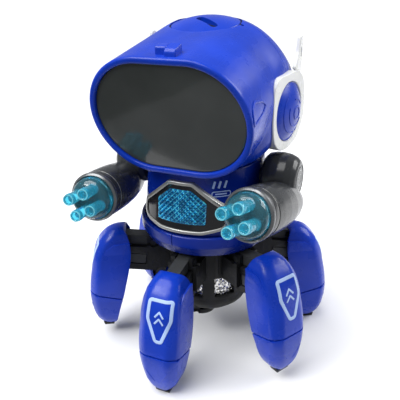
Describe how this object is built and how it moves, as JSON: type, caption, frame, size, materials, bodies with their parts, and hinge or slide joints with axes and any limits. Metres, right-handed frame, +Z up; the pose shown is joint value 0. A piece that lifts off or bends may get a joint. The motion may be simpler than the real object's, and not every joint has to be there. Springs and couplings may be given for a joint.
{
  "type": "toy robot",
  "caption": "Six-legged walking toy robot with a domed helmet, dark oval visor, chest lens and two swivelling blaster arms on a drum-shaped base.",
  "frame": {"origin": "on the floor under the body axis, midway between the feet", "axes": "+Z up, the visor and front leg face -Y, +X is the robot's own left"},
  "size_m": [0.145, 0.1588, 0.2046],
  "materials": {
    "blue_shell": "gloss moulded",
    "navy_shell": "gloss moulded",
    "black_frame": "satin moulded",
    "grey_link": "satin moulded",
    "charcoal_shell": "gloss moulded",
    "silver_trim": "satin silver paint",
    "clear_blue": "clear tinted",
    "lens_blue": "faceted tinted",
    "black_gloss": "gloss",
    "smoked_visor": "gloss smoked",
    "white_trim": "gloss moulded",
    "foil": "vacuum metallised",
    "gear_nylon": "moulded nylon",
    "motor_can": "plated",
    "cell_sleeve": "printed sleeve",
    "board": "lacquered",
    "speaker_cone": "paper and steel",
    "screw_steel": "plated",
    "switch_black": "satin"
  },
  "bodies": {
    "base": {"base_housing": "black_frame", "base_plate": "black_frame", "base_screws": "screw_steel", "reflector_ring": "foil", "drive_motor": "motor_can", "waist_skirt": "navy_shell", "torso_front": "navy_shell", "torso_rear": "navy_shell", "battery_door": "navy_shell", "battery_cells": "cell_sleeve", "circuit_board": "board", "speaker": "speaker_cone", "chest_bezel": "silver_trim", "chest_panel": "black_gloss", "chest_lens": "lens_blue", "neck_collar": "black_frame"},
    "drive": {"drive_gear": "gear_nylon"},
    "pinion": {"motor_pinion": "gear_nylon"},
    "switch": {"power_switch": "switch_black"},
    "head": {"helmet_front": "blue_shell", "helmet_rear": "blue_shell", "visor_lens": "smoked_visor", "brow_knob": "blue_shell", "ear_pad_left": "white_trim", "ear_pad_right": "white_trim", "ear_disc_left": "blue_shell", "ear_disc_right": "blue_shell"},
    "crown": {"crown_cap": "blue_shell"},
    "arm_left": {"shoulder_left": "charcoal_shell", "forearm_left": "charcoal_shell", "muzzle_ring_left": "silver_trim", "blaster_lens_left": "clear_blue"},
    "arm_right": {"shoulder_right": "charcoal_shell", "forearm_right": "charcoal_shell", "muzzle_ring_right": "silver_trim", "blaster_lens_right": "clear_blue"},
    "swing_1": {"lower_arm_1": "black_frame"},
    "link_1": {"upper_link_1": "grey_link"},
    "leg_1": {"leg_frame_1": "black_frame", "leg_shell_1": "blue_shell"},
    "swing_2": {"lower_arm_2": "black_frame"},
    "link_2": {"upper_link_2": "grey_link"},
    "leg_2": {"leg_frame_2": "black_frame", "leg_shell_2": "blue_shell"},
    "swing_3": {"lower_arm_3": "black_frame"},
    "link_3": {"upper_link_3": "grey_link"},
    "leg_3": {"leg_frame_3": "black_frame", "leg_shell_3": "blue_shell"},
    "swing_4": {"lower_arm_4": "black_frame"},
    "link_4": {"upper_link_4": "grey_link"},
    "leg_4": {"leg_frame_4": "black_frame", "leg_shell_4": "blue_shell"},
    "swing_5": {"lower_arm_5": "black_frame"},
    "link_5": {"upper_link_5": "grey_link"},
    "leg_5": {"leg_frame_5": "black_frame", "leg_shell_5": "blue_shell"},
    "swing_6": {"lower_arm_6": "black_frame"},
    "link_6": {"upper_link_6": "grey_link"},
    "leg_6": {"leg_frame_6": "black_frame", "leg_shell_6": "blue_shell"}
  },
  "joints": [
    {"name": "arm_swing_1", "type": "hinge", "parent": "base", "child": "swing_1", "pos_m": [0, -0.036, 0.0565], "axis": [-1, 0, 0], "range_deg": [0, 18]},
    {"name": "leg_pivot_1", "type": "hinge", "parent": "swing_1", "child": "leg_1", "pos_m": [0, -0.0597, 0.05275], "axis": [-1, 0, 0], "range_deg": [-18, 0]},
    {"name": "link_swing_1", "type": "hinge", "parent": "base", "child": "link_1", "pos_m": [0, -0.036, 0.0697], "axis": [-1, 0, 0], "range_deg": [0, 18]},
    {"name": "arm_swing_2", "type": "hinge", "parent": "base", "child": "swing_2", "pos_m": [0.03118, -0.018, 0.0565], "axis": [-0.5, -0.866, 0], "range_deg": [-18, 0]},
    {"name": "leg_pivot_2", "type": "hinge", "parent": "swing_2", "child": "leg_2", "pos_m": [0.05171, -0.02985, 0.06025], "axis": [-0.5, -0.866, 0], "range_deg": [0, 18]},
    {"name": "link_swing_2", "type": "hinge", "parent": "base", "child": "link_2", "pos_m": [0.03118, -0.018, 0.0697], "axis": [-0.5, -0.866, 0], "range_deg": [-18, 0]},
    {"name": "arm_swing_3", "type": "hinge", "parent": "base", "child": "swing_3", "pos_m": [0.03118, 0.018, 0.0565], "axis": [0.5, -0.866, 0], "range_deg": [0, 18]},
    {"name": "leg_pivot_3", "type": "hinge", "parent": "swing_3", "child": "leg_3", "pos_m": [0.05171, 0.02985, 0.05275], "axis": [0.5, -0.866, 0], "range_deg": [-18, 0]},
    {"name": "link_swing_3", "type": "hinge", "parent": "base", "child": "link_3", "pos_m": [0.03118, 0.018, 0.0697], "axis": [0.5, -0.866, 0], "range_deg": [0, 18]},
    {"name": "arm_swing_4", "type": "hinge", "parent": "base", "child": "swing_4", "pos_m": [0, 0.036, 0.0565], "axis": [1, 0, 0], "range_deg": [-18, 0]},
    {"name": "leg_pivot_4", "type": "hinge", "parent": "swing_4", "child": "leg_4", "pos_m": [0, 0.0597, 0.06025], "axis": [1, 0, 0], "range_deg": [0, 18]},
    {"name": "link_swing_4", "type": "hinge", "parent": "base", "child": "link_4", "pos_m": [0, 0.036, 0.0697], "axis": [1, 0, 0], "range_deg": [-18, 0]},
    {"name": "arm_swing_5", "type": "hinge", "parent": "base", "child": "swing_5", "pos_m": [-0.03118, 0.018, 0.0565], "axis": [0.5, 0.866, 0], "range_deg": [0, 18]},
    {"name": "leg_pivot_5", "type": "hinge", "parent": "swing_5", "child": "leg_5", "pos_m": [-0.05171, 0.02985, 0.05275], "axis": [0.5, 0.866, 0], "range_deg": [-18, 0]},
    {"name": "link_swing_5", "type": "hinge", "parent": "base", "child": "link_5", "pos_m": [-0.03118, 0.018, 0.0697], "axis": [0.5, 0.866, 0], "range_deg": [0, 18]},
    {"name": "arm_swing_6", "type": "hinge", "parent": "base", "child": "swing_6", "pos_m": [-0.03118, -0.018, 0.0565], "axis": [-0.5, 0.866, 0], "range_deg": [-18, 0]},
    {"name": "leg_pivot_6", "type": "hinge", "parent": "swing_6", "child": "leg_6", "pos_m": [-0.05171, -0.02985, 0.06025], "axis": [-0.5, 0.866, 0], "range_deg": [0, 18]},
    {"name": "link_swing_6", "type": "hinge", "parent": "base", "child": "link_6", "pos_m": [-0.03118, -0.018, 0.0697], "axis": [-0.5, 0.866, 0], "range_deg": [-18, 0]},
    {"name": "drive_spin", "type": "hinge", "parent": "base", "child": "drive", "pos_m": [0, 0, 0.046], "axis": [0, 0, 1], "continuous": true},
    {"name": "pinion_spin", "type": "hinge", "parent": "base", "child": "pinion", "pos_m": [0.0154, 0, 0.046], "axis": [0, 0, 1], "continuous": true},
    {"name": "switch_slide", "type": "slide", "parent": "base", "child": "switch", "axis": [1, 0, 0], "range_m": [0, 0.004]},
    {"name": "head_turn", "type": "hinge", "parent": "base", "child": "head", "pos_m": [0, 0, 0.13], "axis": [0, 0, 1], "range_deg": [-12, 12]},
    {"name": "cap_turn", "type": "hinge", "parent": "head", "child": "crown", "pos_m": [0, 0.0076, 0.153], "axis": [0, -0.1132, 0.9936], "range_deg": [0, 90]},
    {"name": "arm_pitch_left", "type": "hinge", "parent": "base", "child": "arm_left", "pos_m": [0.047, -0.0012, 0.1167], "axis": [-1, 0, 0], "range_deg": [-25, 4]},
    {"name": "arm_pitch_right", "type": "hinge", "parent": "base", "child": "arm_right", "pos_m": [-0.047, -0.0012, 0.1167], "axis": [-1, 0, 0], "range_deg": [-19.5, 9.5]}
  ],
  "couplings": [
    {"joint": "leg_pivot_1", "follows": "arm_swing_1", "ratio": -1},
    {"joint": "link_swing_1", "follows": "arm_swing_1", "ratio": 1},
    {"joint": "arm_swing_2", "follows": "arm_swing_1", "ratio": -1},
    {"joint": "leg_pivot_2", "follows": "arm_swing_1", "ratio": 1},
    {"joint": "link_swing_2", "follows": "arm_swing_1", "ratio": -1},
    {"joint": "arm_swing_3", "follows": "arm_swing_1", "ratio": 1},
    {"joint": "leg_pivot_3", "follows": "arm_swing_1", "ratio": -1},
    {"joint": "link_swing_3", "follows": "arm_swing_1", "ratio": 1},
    {"joint": "arm_swing_4", "follows": "arm_swing_1", "ratio": -1},
    {"joint": "leg_pivot_4", "follows": "arm_swing_1", "ratio": 1},
    {"joint": "link_swing_4", "follows": "arm_swing_1", "ratio": -1},
    {"joint": "arm_swing_5", "follows": "arm_swing_1", "ratio": 1},
    {"joint": "leg_pivot_5", "follows": "arm_swing_1", "ratio": -1},
    {"joint": "link_swing_5", "follows": "arm_swing_1", "ratio": 1},
    {"joint": "arm_swing_6", "follows": "arm_swing_1", "ratio": -1},
    {"joint": "leg_pivot_6", "follows": "arm_swing_1", "ratio": 1},
    {"joint": "link_swing_6", "follows": "arm_swing_1", "ratio": -1},
    {"joint": "pinion_spin", "follows": "drive_spin", "ratio": -2.6667}
  ]
}
